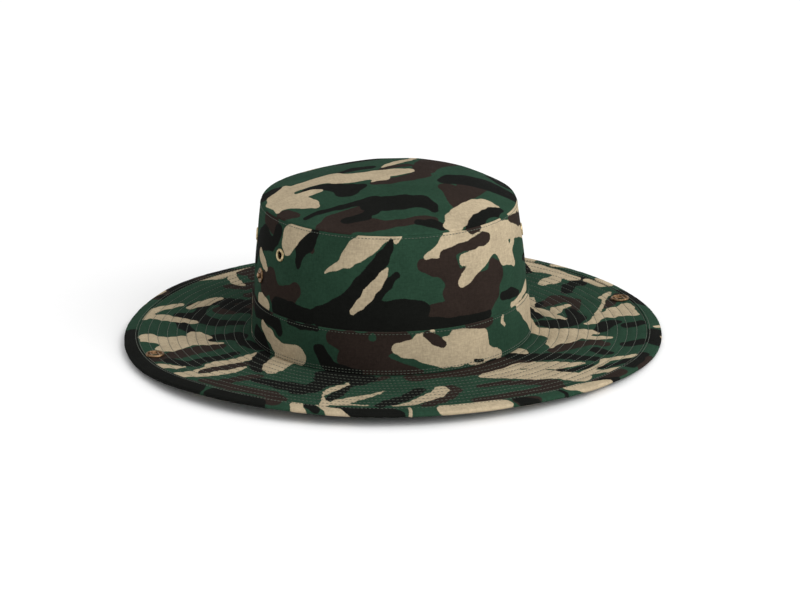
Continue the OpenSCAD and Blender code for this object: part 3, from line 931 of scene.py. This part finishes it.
# ---------------------------------------------------------------- crown side
def build_crown_side():
    step = math.radians(0.85)
    marks = sorted((a % TAU - math.pi / 2) % TAU for a in VENTS.values())
    first, last = half_cells(0 - marks[0], marks[0], step), half_cells(marks[-1], 2 * TAU - marks[-1], step)
    turn = [0.0] + [a for a in first if a > 0]
    for a, b in zip(marks, marks[1:]):
        turn += list(half_cells(a, b, step))
    turn += [a for a in last if a < TAU] + [TAU]
    t = np.array(turn) + math.pi / 2
    low = VENT_H - half_cells(0, VENT_H, 1.55)
    heights = np.concatenate([[0.0], low[::-1][1:], VENT_H + half_cells(0, 2 * (86.9 - VENT_H), 1.55)])
    heights = heights[heights < 87.4]
    edge = [(87.7, 0.0), (88.2, -0.12), (88.6, -0.4), (88.85, -0.85), (88.75, -1.3), (88.4, -1.6)]
    h = np.concatenate([heights, [e[0] for e in edge]])
    out = np.concatenate([np.zeros(len(heights)), [e[1] for e in edge]])
    T, H = np.meshgrid(t, h)
    O = np.broadcast_to(out[:, None], T.shape)
    mid = xyz(BASE_A * np.cos(T), BASE_B * np.sin(T), H)
    pucker = 0.16 * noise(mid * [1, 1, 0.25], 5.5, 11) * np.exp(-((H - 87.0) / 7.0) ** 2)
    seam = np.minimum(T - t[0], t[-1] - T) * BASE_B
    groove = -0.35 * np.exp(-((seam / 0.9) ** 2)) + 0.22 * np.exp(-(((seam - 2.6) / 1.6) ** 2))
    stitched = -0.14 * np.exp(-(((H - TOP_STITCH_H) / 0.8) ** 2))
    outer = wall_point(T, H, O + pucker + groove + stitched)
    inner = wall_point(T, H, O - 0.55)
    cells = []
    for angle in VENTS.values():
        a = (angle - math.pi / 2) % TAU + math.pi / 2
        c = int(np.searchsorted(t, a)) - 1
        r = int(np.searchsorted(h, VENT_H)) - 1
        cells.append((r, c))
        for grid, lift in ((outer, 0.0), (inner, -0.55)):
            # the cloth next to the hole is moved out, so that the hole is round
            centre, n, _ = wall_frame(angle, VENT_H, lift)
            d = grid - centre
            off = (d @ n)[..., None] * n
            plane = d - off
            dist = np.linalg.norm(plane, axis=-1, keepdims=True)
            near = dist[..., 0] < VENT_EASE
            wanted = VENT_HOLE_R + dist * (VENT_EASE - VENT_HOLE_R) / VENT_EASE
            moved = centre + off + plane / np.maximum(dist, 1e-6) * wanted
            dip = 0.25 * np.exp(-((dist / 6.5) ** 2)) * n
            grid[near] = moved[near]
            grid -= np.where(dist < 16, dip, 0)
    degrees = np.degrees(T)
    flat = xyz(T * (BASE_A + BASE_B) / 2, H, 0 * T)
    hat_print = with_scatter(SIDE_PRINT, 5, (22, 168), (2, 88), SIDE_DEGREE, 13)
    fields = printed(hat_print, degrees, H, SIDE_DEGREE, mid)
    fields["flat"] = flat
    obj = shell("crown_side_cloth", outer, inner, fields, drop_cells=cells)
    finish_piece(obj, CAMO, "crown", ("crown_side",))


def wall_line(h, out):
    """Points round the wall at one height, and their normals."""
    t = math.pi / 2 + np.arange(720) * TAU / 720
    p = wall_point(t, np.full(720, float(h)), out)
    n = xyz(np.cos(t) / BASE_A, np.sin(t) / BASE_B, 0.0009)
    return p, n / np.linalg.norm(n, axis=-1, keepdims=True)


# ---------------------------------------------------------------- crown tip
def build_crown_tip():
    cols = 360
    t = math.pi / 2 + np.arange(cols) * TAU / cols
    r = np.concatenate([[0.004], np.linspace(0.02, 0.975, 56), [0.984, 0.99]])
    top = wall_point(t, np.full(cols, SIDE_H))
    ring = top[:, :2]  # the seam's outline, with the wall's dents
    T, R = np.meshgrid(t, r)
    spread = xyz(ring[:, 0] * R, ring[:, 1] * R, 0)
    tilt = 6.5 * R * np.cos(T) + 1.5 * R * np.sin(T)
    seam_z = BASE_Z + SIDE_H + 0.9 - R * np.cos(T)
    dome = (DOME + 0.2 + tilt) * (1 - R**2.25)
    edge = np.clip((R - 0.55) / 0.45, 0, 1)
    ripple = (0.8 * noise(spread, 34, 21) + 0.34 * noise(spread, 14, 22)) * (1 - R**6)
    pucker = 0.16 * noise(spread, 5.5, 23) * edge**3
    z = seam_z + 0.62 + dome + ripple + pucker
    outer = spread.copy()
    outer[..., 2] = z
    rim = []
    for inset, dz in ((0.62, 0.42), (0.34, 0.14), (0.30, -0.12), (0.55, -0.42), (1.1, -0.6)):
        scale = 1 - inset / 88.0
        row = xyz(ring[:, 0] * scale, ring[:, 1] * scale, top[:, 2] + dz)
        rim.append(row)
    outer = np.concatenate([outer, np.stack(rim)])
    inner = outer.copy()
    inner[: len(r), :, 2] -= 0.6
    for k, inset in enumerate((1.2, 1.15, 1.1, 1.15, 1.4)):
        scale = 1 - inset / 88.0
        inner[len(r) + k, :, :2] = ring * scale
        inner[len(r) + k, :, 2] = top[:, 2] + (-0.15, -0.3, -0.4, -0.55, -0.7)[k]
    flat = outer * [1, 1, 0]
    fields = printed(TIP_PRINT, outer[..., 0], outer[..., 1], 1.0, flat, wraps=False)
    fields["flat"] = flat
    # the grid runs from the centre out, so it is turned over to face up
    order = slice(None, None, -1)
    fields = {k: v[order] for k, v in fields.items()}
    obj = shell("crown_tip_cloth", outer[order], inner[order], fields, closed=True)
    finish_piece(obj, CAMO, "crown", ("crown_tip",))


# ---------------------------------------------------------------- band, sweatband and tape round the crown
def build_band():
    # the outer face in section, as (height, out from the wall)
    rows = [(0.05, 0.35), (0.12, 0.7), (0.4, 0.92), (1.2, 0.86), (2.1, 0.98), (3.0, 0.86), (4.0, 0.98)]
    rows += [(h, 0.98) for h in np.arange(5.2, 25.6, 1.25)]
    rows += [(26.3, 1.1), (27.0, 0.98), (27.6, 1.22), (28.1, 1.18)]
    rows += [(28.42, 0.95), (28.52, 0.6), (28.45, 0.3)]
    h, out = (np.array(v, float) for v in zip(*rows))
    T, H = np.meshgrid(math.pi / 2 + np.linspace(0, TAU, 420), h)
    mid = xyz(BASE_A * np.cos(T), BASE_B * np.sin(T), H)
    ripple = 0.14 * noise(mid * [1, 1, 0.5], 26, 31)
    outer = wall_point(T, H, out[:, None] + ripple)
    inner = wall_point(T, H, 0.12)
    away = (np.degrees(T) - CREASE_DEGREE) * BAND_DEGREE
    crease = 0.35 * np.exp(-((away / 1.3) ** 2)) * np.sin(np.pi * H / BAND_H)
    outer -= xyz(np.cos(T), np.sin(T), 0) * crease[..., None]
    hat_print = with_scatter(BAND_PRINT, 6, (15, 170), (0, 28), BAND_DEGREE, 6)
    fields = printed(hat_print, np.degrees(T), H, BAND_DEGREE, mid)
    fields["flat"] = xyz(T * (BASE_A + BASE_B) / 2, H + 200, 0 * T)
    obj = shell("hat_band_cloth", outer, inner, fields)
    finish_piece(obj, CAMO, "crown", ("hat_band",))


def build_sweatband():
    t = math.pi / 2 + np.linspace(0, TAU, 320)
    h = np.linspace(0.3, 31.8, 22)
    T, H = np.meshgrid(t, h)
    mid = xyz(BASE_A * np.cos(T), BASE_B * np.sin(T), H)
    loose = (H / 32) ** 1.2
    puff = -0.95 - 0.35 * np.sin(np.pi * H / 32) + loose * (0.3 * noise(mid, 18, 41) - 0.25)
    puff += 0.16 * np.exp(-(((H - 30.2) / 0.7) ** 2))
    back = wall_point(T, H, -0.68 + 0 * T)
    face = wall_point(T, H, puff - 0.75)
    flat = xyz(T * 94, H + 300, 0 * T)
    obj = shell("sweatband_cloth", face[::-1], back[::-1], {"flat": flat[::-1]})
    finish_piece(obj, OLIVE, "crown", ("sweatband",))


def build_seam_tape():
    h = np.array([77.0, 77.15, 77.4, 78.4, 79.4, 81.0, 83.0, 85.0, 86.6, 87.4])
    out = np.array([-0.7, -0.95, -1.08, -0.98, -1.12, -1.18, -1.18, -1.15, -1.05, -0.85])
    t = math.pi / 2 + np.linspace(0, TAU, 320)
    T, H = np.meshgrid(t, h)
    mid = xyz(BASE_A * np.cos(T), BASE_B * np.sin(T), H)
    face = wall_point(T, H, out[:, None] + 0.12 * noise(mid, 9, 51))
    back = wall_point(T, H, -0.62 + 0 * T)
    flat = xyz(T * 88, H + 400, 0 * T)
    obj = shell("seam_tape_cloth", face[::-1], back[::-1], {"flat": flat[::-1]})
    finish_piece(obj, TAPE, "crown", ("crown_seam_tape",))


# ---------------------------------------------------------------- brim
HALF_COLS = 300
BRIM_S = np.unique(np.concatenate([np.arange(0, 13 * 6) * ROW_GAP / 6, [78.0, 79.5, 81.5, 83.6]]).round(4))


def quilt(s, t, seed, amount=1.0):
    """How far the cloth stands proud between the quilting rows."""
    part = (s / ROW_GAP) % 1.0
    inside = (s < ROW_GAP * ROWS + 0.4) & (s > 0)
    ridge = 0.34 * (1 - np.abs(2 * part - 1) ** 2.2) - 0.10
    arc = t * (BASE_A + BASE_B) / 2 * (1 + s / 96)
    fine = 0.13 * noise(xyz(arc, s * 0.3, 0 * s), 4.6, seed)
    broad = 0.10 * noise(xyz(arc, s * 0.55, 0 * s), 9, seed + 1)
    cross = fine + broad
    return np.where(inside, (ridge + cross) * np.clip((s + 0.6) / 3, 0.25, 1), 0.0) * amount


def half_angles(side, cols=HALF_COLS):
    start = -math.pi / 2 if side == "left" else math.pi / 2
    return start + np.linspace(0, math.pi, cols)


def full_angle(T):
    """The same angles, counted on from the back so that both halves share one pattern."""
    return (T - math.pi / 2) % TAU + math.pi / 2


def split_normals(make, t, s_rows):
    """Normals worked out with a little more ring at each end, so that the halves meet without a line."""
    d = t[1] - t[0]
    wide = np.concatenate([[t[0] - d], t, [t[-1] + d]])
    T, S = np.meshgrid(wide, s_rows)
    return grid_normals(make(T, S))[:, 1:-1]


def build_brim_half(side):
    body = f"{side}_side"
    t = half_angles(side)
    T, S = np.meshgrid(t, BRIM_S)
    degrees = np.degrees(full_angle(T))

    def top(T, S):
        return brim_point(S, T, quilt(S, full_angle(T), 61))

    def under(T, S):
        return brim_point(S, T, -2.0 - quilt(S, full_angle(T), 65, 0.8))

    layers = (
        ("brim_top", top, -0.62, "brim_top_cloth", "side_top_cloth", 1),
        ("brim_under", under, -1.4, "brim_under_cloth", "side_under_cloth", -1),
    )
    per_degree = np.radians(1) * (BASE_A + BASE_B + 2 * S) / 2
    flat = brim_point(S, T) * [1, 1, 0]
    for name, face, back, centre_node, side_node, way in layers:
        outer, inner = face(T, S), brim_point(S, T, back)
        normals = split_normals(face, t, BRIM_S) * way
        if way > 0:
            print_ = with_scatter(BRIM_PRINT, 7, (32, 158), (2, 84), BRIM_DEGREE, 22)
        else:
            print_ = with_scatter({"sand": []}, 8, (0, 360), (0, 86), BRIM_DEGREE, 44)
        fields = printed(print_, degrees, S, per_degree, flat)
        fields["flat"] = flat
        if way < 0:
            # turned over, so that its outer face looks down
            outer, inner, normals = outer[::-1], inner[::-1], normals[::-1]
            fields = {k: v[::-1] for k, v in fields.items()}
        obj = shell(f"{name}_{side}", outer, inner, fields, normals=normals)
        finish_piece(obj, CAMO, replaces=(centre_node, f"{side_node}_{side}"), blend=body)
    s = np.linspace(0.2, 83.4, 60)
    T, S = np.meshgrid(t[::2], s)
    outer, inner = brim_point(S, T, -0.66), brim_point(S, T, -1.36)
    flat = brim_point(S, T) * [1, 1, 0]
    obj = shell(f"brim_interlining_{side}", outer, inner, {"flat": flat})
    nodes = ("brim_stiffener", f"side_stiffener_{side}")
    finish_piece(obj, LINING, replaces=nodes, blend=body)


# The binding's upper half in section: distance from the crown seam, height above the brim's middle.
BINDING_SECTION = [(77.05, 1.12), (76.95, 1.34), (77.15, 1.5), (77.6, 1.5), (78.2, 1.36)]
BINDING_SECTION += [(78.9, 1.55), (80.0, 1.66), (81.2, 1.68), (82.4, 1.66), (83.5, 1.6)]
BINDING_R = 1.55  # radius of its outer turn round the edge
BINDING_INNER_R = 1.08


def binding_profile():
    """The folded strip in section: its outer and its inner face."""
    over = list(BINDING_SECTION)
    angles = np.linspace(0, math.pi, 13)
    turn = [(ROLL_S + BINDING_R * math.sin(a), BINDING_R * math.cos(a)) for a in angles]
    outer = over + turn + [(s, -z) for s, z in over[::-1]]
    inner = []
    for s, z in outer:
        if s >= ROLL_S:
            k = BINDING_INNER_R / BINDING_R
            inner.append((ROLL_S + (s - ROLL_S) * k, z * k))
        else:
            inner.append((max(s, 77.0), math.copysign(1.06, z)))
    return np.array(outer), np.array(inner)


EDGE_R = 184  # mean radius of the brim's edge
JOINS = (254.6, 289.0)  # degrees at which two lengths of binding overlap


def build_binding_half(side):
    body = f"{side}_side"
    outer_s, inner_s = binding_profile()
    t = half_angles(side, 420)
    across = np.concatenate([[0], np.cumsum(np.linalg.norm(np.diff(outer_s, axis=0), axis=1))])

    def face(T, section, out=0.0):
        S = section[:, 0][:, None] + 0 * T
        Z = section[:, 1][:, None] + 0 * T
        T = T + 0 * S
        degrees = np.degrees(full_angle(T))
        if out:
            arc = full_angle(T) * EDGE_R
            w = across[:, None] + 0 * T
            push = 0.10 * noise(xyz(arc, w * 0.4, 0 * w), 3.8, 71) + 0.14 * noise(xyz(arc, w, 0 * w), 11, 72)
            for join in JOINS:
                gap = (degrees - join) * EDGE_DEGREE
                push = push + 0.34 * np.exp(-np.clip(gap, 0, None) / 5) * (gap > 0) * (gap < 30)
                push = push - 0.1 * np.exp(-((gap / 0.8) ** 2))
            mid_s, mid_z = S - np.minimum(S, ROLL_S), Z
            size = np.hypot(mid_s, mid_z)
            S = S + push * mid_s / size
            Z = Z + push * mid_z / size
        base = brim_point(np.minimum(S, ROLL_S), T, -1.0)
        beyond = np.maximum(S - ROLL_S, 0)
        far = brim_point(ROLL_S + beyond, T) - brim_point(ROLL_S + 0 * beyond, T)
        far[..., 2] = 0
        base = base + far
        base[..., 2] += Z
        return base

    T = t[None, :]
    outer, inner = face(T, outer_s, 1.0), face(T, inner_s)
    d = t[1] - t[0]
    wide = np.concatenate([[t[0] - d], t, [t[-1] + d]])[None, :]
    normals = grid_normals(face(wide, outer_s, 1.0))[:, 1:-1]
    w = across[:, None] + 0 * T
    degrees = np.degrees(full_angle(T)) + 0 * w
    flat = xyz(full_angle(T) * EDGE_R, w + 500, 0 * w)
    print_ = with_scatter(BINDING_PRINT, 9, (25, 150), (0, 22), EDGE_DEGREE, 14)
    fields = printed(print_, degrees, w, EDGE_DEGREE, flat, wobble=0.7)
    fields["flat"] = flat
    fields = {k: v[::-1] for k, v in fields.items()}
    obj = shell(f"binding_{side}", outer[::-1], inner[::-1], fields, normals=-normals[::-1])
    finish_piece(
        obj,
        CAMO,
        replaces=("brim_binding_front", "brim_binding_back", f"side_binding_{side}"),
        blend=body,
    )
    length = float(np.linalg.norm(np.diff(outer[len(outer) // 2], axis=0), axis=1).sum())


# ---------------------------------------------------------------- stitching
def build_stitching():
    top, under = Thread(5), Thread(5)
    t = math.pi / 2 + np.arange(1440) * TAU / 1440
    for row in range(1, ROWS + 1):
        s = row * ROW_GAP
        drift = 0.18 * noise(xyz(t * 60, row * 37.0, 0 * t), 30, 80)
        S = s + drift
        p = brim_point(S, t, quilt(S, t, 61) + 0.02)
        n = np.broadcast_to([0.0, 0.0, 1.0], p.shape)
        top.line(p, n, 2.7, radius=0.20)
        p = brim_point(S, t, -2.0 - quilt(S, t, 65, 0.8) - 0.02)
        under.line(p, -n, 2.7, radius=0.20)
    for thread, z in ((top, 0.38), (under, -2.38)):
        p = brim_point(BINDING_STITCH_S, t, z)
        n = np.broadcast_to([0.0, 0.0, 1.0 if z > 0 else -1.0], p.shape)
        thread.line(p, n, 2.5, radius=0.22)
    for side, way in (("left", 1), ("right", -1)):
        for thread, name in ((top, "brim_top_stitching"), (under, "brim_under_stitching")):
            obj = thread.build(f"{name}_{side}", way)
            finish_piece(obj, THREAD, blend=f"{side}_side")
    crown = Thread(6)
    for h, out, pitch in ((TOP_STITCH_H, -0.10, 2.3), (27.05, 1.0, 2.4), (1.2, 0.88, 2.4), (3.0, 0.88, 2.4)):
        crown.line(*wall_line(h, out), pitch, radius=0.2)
    h = np.linspace(29.5, 86.0, 120)
    for turn in (-0.026, 0.026):
        t = np.full(120, math.pi / 2 + turn)
        p = wall_point(t, h, 0.2)
        n = np.broadcast_to([0.0, 1.0, 0.09], p.shape)
        crown.line(p, n, 2.5, radius=0.2, closed=False)
    finish_piece(crown.build("crown_stitching"), THREAD, "crown")
    inside = Thread(5)
    for h, out, pitch in ((30.2, -1.62, 2.6), (78.4, -1.02, 2.6), (86.0, -1.10, 2.6)):
        p, n = wall_line(h, out)
        inside.line(p, -n, pitch, radius=0.2)
    finish_piece(inside.build("inside_stitching"), THREAD, "crown")


# ---------------------------------------------------------------- vents and snaps
# Profiles to turn, as (radius, height), each going round its section.
EYELET = [(2.45, -1.15), (2.45, 0.35), (2.55, 0.72), (2.85, 0.98), (3.3, 1.06), (3.8, 0.96), (4.2, 0.66)]
EYELET += [(4.35, 0.3), (4.3, 0.08), (4.0, 0.02), (3.5, 0.12), (2.95, 0.05), (2.8, -0.3), (2.8, -1.15)]
WASHER = [(2.82, -1.2), (3.0, -1.34), (3.7, -1.42), (4.3, -1.3), (4.62, -1.05), (4.55, -0.8)]
WASHER += [(4.2, -0.74), (2.95, -0.74)]
STUD = [(0, 2.72), (0.8, 2.7), (1.55, 2.52), (1.98, 2.12), (2.05, 1.75), (1.85, 1.4), (1.7, 1.2)]
STUD += [(1.85, 1.02), (2.4, 0.92), (3.2, 0.9), (3.7, 1.05), (4.15, 1.16), (4.6, 1.08)]
STUD += [(4.95, 0.82), (5.08, 0.45), (5.0, 0.1), (4.7, 0.0), (0, 0.0)]
STUD_BACK = [(0, -1.38), (1.2, -1.36), (1.5, -1.2), (2.2, -1.2), (3.6, -1.28), (4.4, -1.24)]
STUD_BACK += [(4.78, -1.02), (4.8, -0.82), (4.4, -0.72), (0, -0.72)]
SOCKET = [(4.75, 0.5), (4.72, 0.95), (4.85, 1.4), (5.15, 1.62), (5.6, 1.62), (6.0, 1.36)]
SOCKET += [(6.2, 0.95), (6.2, 0.45), (6.05, 0.1), (5.7, -0.02), (2.1, -0.02), (2.1, 0.3), (4.4, 0.34)]
CAP = [(0, -1.16), (2.0, -1.12), (3.8, -0.98), (5.2, -0.72), (6.0, -0.36), (6.2, -0.08)]
CAP += [(6.1, 0.04), (0, 0.04)]


def smooth_profile(points):
    """Cuts a turned profile's corners, keeping its ends on the axis."""
    closed = points[0][0] > 0
    new = []
    for (a, b), (c, d) in zip(points, points[1:] + (points[:1] if closed else [])):
        new.append((0.75 * a + 0.25 * c, 0.75 * b + 0.25 * d))
        new.append((0.25 * a + 0.75 * c, 0.25 * b + 0.75 * d))
    if closed:
        return new
    return [points[0]] + [(r, z) for r, z in new if r > 0] + [points[-1]]


def build_vents():
    for name, t in VENTS.items():
        place = frame_matrix(*wall_frame(t, VENT_H, -0.28))
        for piece, profile in (("eyelet", EYELET), ("washer", WASHER)):
            obj = lathe(f"{piece}_{name}", smooth_profile(profile), place)
            finish_piece(obj, BRASS, "crown", (f"vent_{piece}_{name}",))


def build_stud(side, t):
    """The crown's half of a snap."""
    place = frame_matrix(*wall_frame(t, STUD_H, 0.0))
    for piece, profile in (("stud", STUD), ("stud_back", STUD_BACK)):
        obj = lathe(f"{piece}_{side}", smooth_profile(profile), place, 48)
        finish_piece(obj, BRONZE, "crown", (f"snap_{piece}_{side}",))


def spring_wires():
    """The two bowed wires that hold a snap's stud: points around the socket's axis, and faces."""
    count, ring, reach, thick = 25, 8, 4.75, 0.3
    x = np.linspace(-reach, reach, count)
    lift = 0.86 + 0.06 * np.cos(x * 0.6)
    verts, faces = [], []
    for y in (-2.5, 2.5):
        bow = y * (1 + 0.05 * np.cos(x / reach * math.pi / 2))
        start = len(verts)
        for i in range(count):
            for k in range(ring):
                a = TAU * k / ring
                verts.append([x[i], bow[i] + thick * math.cos(a), lift[i] + thick * math.sin(a)])
        for i in range(count - 1):
            for k in range(ring):
                a, b = start + i * ring + k, start + i * ring + (k + 1) % ring
                faces.append([b, a, a + ring, b + ring])
        faces.append([start + k for k in range(ring)])
        faces.append([start + (count - 1) * ring + k for k in range(ring)][::-1])
    return np.array(verts), faces


def build_socket(side, t):
    """The brim's half of a snap: the socket on top, with its spring, and the cap below."""
    body = f"{side}_side"
    low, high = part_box(f"snap_socket_{side}")
    s = abs(low[0] + high[0]) / 2 / MM - BASE_A
    p0, p1 = (brim_point(np.array(v), np.array(t)) for v in (s - 2, s + 2))
    up = np.cross(p1 - p0, [0, 1, 0])
    up = up / np.linalg.norm(up) * (1 if up[2] > 0 else -1)
    place = frame_matrix(brim_point(np.array(s), np.array(t), 0.22), up, [0, 1, 0])
    socket = lathe(f"socket_{side}", smooth_profile(SOCKET), place, 48)
    finish_piece(socket, BRONZE, body, (f"snap_socket_{side}",))
    verts, faces = spring_wires()
    placed = np.concatenate([verts, np.ones((len(verts), 1))], 1) @ np.array(place).T
    spring = make_mesh(f"spring_{side}", placed[:, :3], faces)
    finish_piece(spring, STEEL, body, (f"snap_spring_{side}",))
    place = frame_matrix(brim_point(np.array(s), np.array(t), -2.15), up, [0, 1, 0])
    cap = lathe(f"cap_{side}", smooth_profile(CAP), place, 48)
    finish_piece(cap, BRONZE, body, (f"snap_cap_{side}",))


# ---------------------------------------------------------------- building
for side in ("left", "right"):
    build_brim_half(side)
    build_binding_half(side)
build_crown_side()
build_crown_tip()
build_band()
build_sweatband()
build_seam_tape()
build_stitching()
build_vents()
for side, angle in (("left", 0.0), ("right", math.pi)):
    build_stud(side, angle)
    build_socket(side, angle)


# ---------------------------------------------------------------- floor, light and camera
def plain_material(name, colour, rough):
    n = Nodes(name)
    place = n.add("ShaderNodeTexCoord").outputs["Object"]
    soft = n.noise(place, 3.0, 2)
    light = tuple(min(1, c * 1.01) for c in colour[:3]) + (1.0,)
    n.link(n.mix(soft, colour, light), n.shader.inputs["Base Color"])
    n.shader.inputs["Roughness"].default_value = rough
    n.shader.inputs["Specular IOR Level"].default_value = 0.1
    return n.material


def add_floor():
    """A wide pale floor that just touches the lowest point of the hat."""
    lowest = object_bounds()[0][2]
    bpy.ops.mesh.primitive_plane_add(size=40, location=(0, 0, lowest - 0.0001))
    floor = bpy.context.object
    floor.name = "floor"
    floor.data.materials.append(plain_material("paper_floor", (0.93, 0.93, 0.93, 1), 0.9))


def add_sun(name, azimuth, elevation, strength, spread):
    """A broad lamp far away, in the direction azimuth (degrees round the hat) and elevation."""
    lamp = bpy.data.lights.new(name, "SUN")
    lamp.energy, lamp.angle = strength, math.radians(spread)
    obj = bpy.data.objects.new(name, lamp)
    bpy.context.scene.collection.objects.link(obj)
    az, el = math.radians(azimuth), math.radians(elevation)
    towards = Vector((math.cos(az) * math.cos(el), math.sin(az) * math.cos(el), math.sin(el)))
    obj.rotation_euler = towards.to_track_quat("Z", "Y").to_euler()


def add_world(strength):
    world = bpy.data.worlds.new("studio")
    world.use_nodes = True
    background = world.node_tree.nodes["Background"]
    background.inputs["Color"].default_value = (1, 1, 1, 1)
    background.inputs["Strength"].default_value = strength
    bpy.context.scene.world = world


CAMERA_TURN = math.radians(17.5)  # round from the front towards the wearer's right
CAMERA_RISE = math.radians(16.9)
CAMERA_ROLL = math.radians(-1.6)
CAMERA_DISTANCE = 2.4
CAMERA_SHIFT = (0.00657, -0.0065)  # metres right and up, from the hat's axis to what the camera aims at


def add_camera():
    a, e = -CAMERA_TURN, CAMERA_RISE
    back = Vector((math.sin(a) * math.cos(e), -math.cos(a) * math.cos(e), math.sin(e)))
    right = Vector((math.cos(a), math.sin(a), 0))
    up = back.cross(right)
    c, s = math.cos(CAMERA_ROLL), math.sin(CAMERA_ROLL)
    right, up = right * c + up * s, up * c - right * s
    centre = Vector((0, 0, (30 + BASE_Z) * MM))
    aim = centre + right * CAMERA_SHIFT[0] + up * CAMERA_SHIFT[1]
    place = centre + back * CAMERA_DISTANCE
    z = (place - aim).normalized()
    x = (right - z * right.dot(z)).normalized()
    y = z.cross(x)
    data = bpy.data.cameras.new("camera")
    data.lens, data.sensor_width = 162.84, 36
    data.clip_start, data.clip_end = 0.05, 100
    obj = bpy.data.objects.new("camera", data)
    m = Matrix((x, y, z)).transposed().to_4x4()
    m.translation = place
    obj.matrix_world = m
    bpy.context.collection.objects.link(obj)
    bpy.context.scene.camera = obj


add_floor()
add_world(0.75)
add_sun("key", azimuth=305, elevation=35, strength=2.2, spread=50)
add_camera()
bpy.context.scene.view_settings.view_transform = "Standard"
